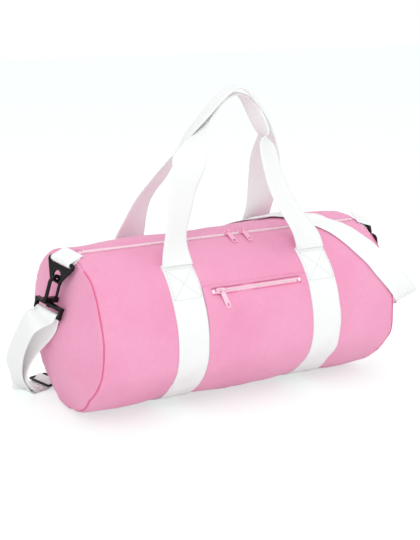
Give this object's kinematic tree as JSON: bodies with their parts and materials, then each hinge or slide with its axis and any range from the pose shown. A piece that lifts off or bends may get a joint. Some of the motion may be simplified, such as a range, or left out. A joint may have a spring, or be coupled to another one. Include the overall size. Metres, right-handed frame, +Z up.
{
  "type": "barrel bag",
  "caption": "Barrel-shaped carry-all with a zipped top, front zip pocket, webbing carry handles and a clip-on shoulder strap.",
  "frame": {"origin": "on the ground at the middle of the bag's flat base", "axes": "+X along the bag to the wearer's right seen from the pocket side, -Y out of the front pocket, +Z up"},
  "size_m": [0.5875, 0.2709, 0.4234],
  "materials": {
    "pink_fabric": "woven polyester with a soft sheen",
    "white_webbing": "ribbed webbing",
    "strap_webbing": "ribbed webbing",
    "black_plastic": "satin",
    "zip_teeth": "moulded",
    "zip_pull": "painted",
    "zip_tape": "woven tape",
    "seam_binding": "woven tape"
  },
  "bodies": {
    "bag": {"body_panel": "pink_fabric", "left_end_panel": "pink_fabric", "right_end_panel": "pink_fabric", "left_seam_binding": "seam_binding", "right_seam_binding": "seam_binding", "main_zip_front_tape": "zip_tape", "main_zip_back_tape": "zip_tape", "main_zip_front_teeth": "zip_teeth", "main_zip_back_teeth": "zip_teeth", "main_zip_stops": "zip_teeth", "pocket_panel": "pink_fabric", "pocket_zip_upper_tape": "zip_tape", "pocket_zip_lower_tape": "zip_tape", "pocket_zip_upper_teeth": "zip_teeth", "pocket_zip_lower_teeth": "zip_teeth", "pocket_zip_stops": "zip_teeth", "left_band": "white_webbing", "right_band": "white_webbing", "left_ring_tab": "white_webbing", "right_ring_tab": "white_webbing", "strap_left_loop": "strap_webbing", "strap_long_run": "strap_webbing", "strap_adjuster": "black_plastic"},
    "left_slider": {"left_slider": "zip_pull"},
    "right_slider": {"right_slider": "zip_pull"},
    "left_puller": {"left_slider_puller": "zip_pull"},
    "right_puller": {"right_slider_puller": "zip_pull"},
    "pocket_slider": {"pocket_slider": "zip_pull"},
    "pocket_puller": {"pocket_slider_puller": "zip_pull"},
    "front_handle": {"front_handle": "white_webbing"},
    "back_handle": {"back_handle": "white_webbing"},
    "left_ring": {"left_ring": "black_plastic"},
    "right_ring": {"right_ring": "black_plastic"},
    "left_hook": {"left_hook": "black_plastic"},
    "right_hook": {"right_hook": "black_plastic"},
    "left_gate": {"left_hook_gate": "black_plastic"},
    "right_gate": {"right_hook_gate": "black_plastic"},
    "left_swivel": {"left_swivel_loop": "black_plastic"},
    "right_swivel": {"right_swivel_loop": "black_plastic"}
  },
  "joints": [
    {"name": "front_handle_fold", "type": "hinge", "parent": "bag", "child": "front_handle", "pos_m": [0, -0.07737, 0.20433], "axis": [1, 0, 0], "range_deg": [0, 100]},
    {"name": "back_handle_fold", "type": "hinge", "parent": "bag", "child": "back_handle", "pos_m": [0, 0.07737, 0.20433], "axis": [-1, 0, 0], "range_deg": [0, 100]},
    {"name": "left_slider_run", "type": "slide", "parent": "bag", "child": "left_slider", "axis": [-1, 0, 0], "range_m": [0, 0.2]},
    {"name": "right_slider_run", "type": "slide", "parent": "bag", "child": "right_slider", "axis": [1, 0, 0], "range_m": [0, 0.075]},
    {"name": "left_puller_flip", "type": "hinge", "parent": "left_slider", "child": "left_puller", "pos_m": [0.006, -0.02671, 0.22914], "axis": [-1, 0, 0], "range_deg": [0, 150]},
    {"name": "right_puller_flip", "type": "hinge", "parent": "right_slider", "child": "right_puller", "pos_m": [0.03, -0.02671, 0.22914], "axis": [-1, 0, 0], "range_deg": [0, 150]},
    {"name": "pocket_slider_run", "type": "slide", "parent": "bag", "child": "pocket_slider", "axis": [1, 0, 0], "range_m": [0, 0.11]},
    {"name": "pocket_puller_flip", "type": "hinge", "parent": "pocket_slider", "child": "pocket_puller", "pos_m": [-0.0502, -0.11174, 0.17387], "axis": [-1, 0, 0], "range_deg": [0, 100]},
    {"name": "left_ring_swing", "type": "hinge", "parent": "bag", "child": "left_ring", "pos_m": [-0.2381, -0.02945, 0.21737], "axis": [-0.342, 0.9192, 0.1954], "range_deg": [-3, 2.8]},
    {"name": "left_swivel_tilt", "type": "hinge", "parent": "bag", "child": "left_swivel", "pos_m": [-0.25823, -0.02263, 0.15007], "axis": [0.342, -0.9192, -0.1954], "range_deg": [-3, 2.8]},
    {"name": "left_hook_turn", "type": "hinge", "parent": "left_swivel", "child": "left_hook", "pos_m": [-0.2549, -0.0242, 0.16326], "axis": [0.2432, -0.1142, 0.9632], "range_deg": [-20, 20]},
    {"name": "left_gate_open", "type": "hinge", "parent": "left_hook", "child": "left_gate", "pos_m": [-0.24549, -0.02131, 0.16611], "axis": [0.342, -0.9192, -0.1954], "range_deg": [0, 18], "stiffness_Nm_per_rad": 0.02, "springref_deg": -11.46},
    {"name": "right_ring_swing", "type": "hinge", "parent": "bag", "child": "right_ring", "pos_m": [0.2381, -0.02945, 0.21737], "axis": [-0.342, -0.9192, -0.1954], "range_deg": [-3, 2.8]},
    {"name": "right_swivel_tilt", "type": "hinge", "parent": "bag", "child": "right_swivel", "pos_m": [0.25823, -0.02263, 0.15007], "axis": [0.342, 0.9192, 0.1954], "range_deg": [-3, 2.8]},
    {"name": "right_hook_turn", "type": "hinge", "parent": "right_swivel", "child": "right_hook", "pos_m": [0.2549, -0.0242, 0.16326], "axis": [-0.2432, -0.1142, 0.9632], "range_deg": [-20, 20]},
    {"name": "right_gate_open", "type": "hinge", "parent": "right_hook", "child": "right_gate", "pos_m": [0.24549, -0.02131, 0.16611], "axis": [0.342, 0.9192, 0.1954], "range_deg": [0, 18], "stiffness_Nm_per_rad": 0.02, "springref_deg": -11.46}
  ]
}
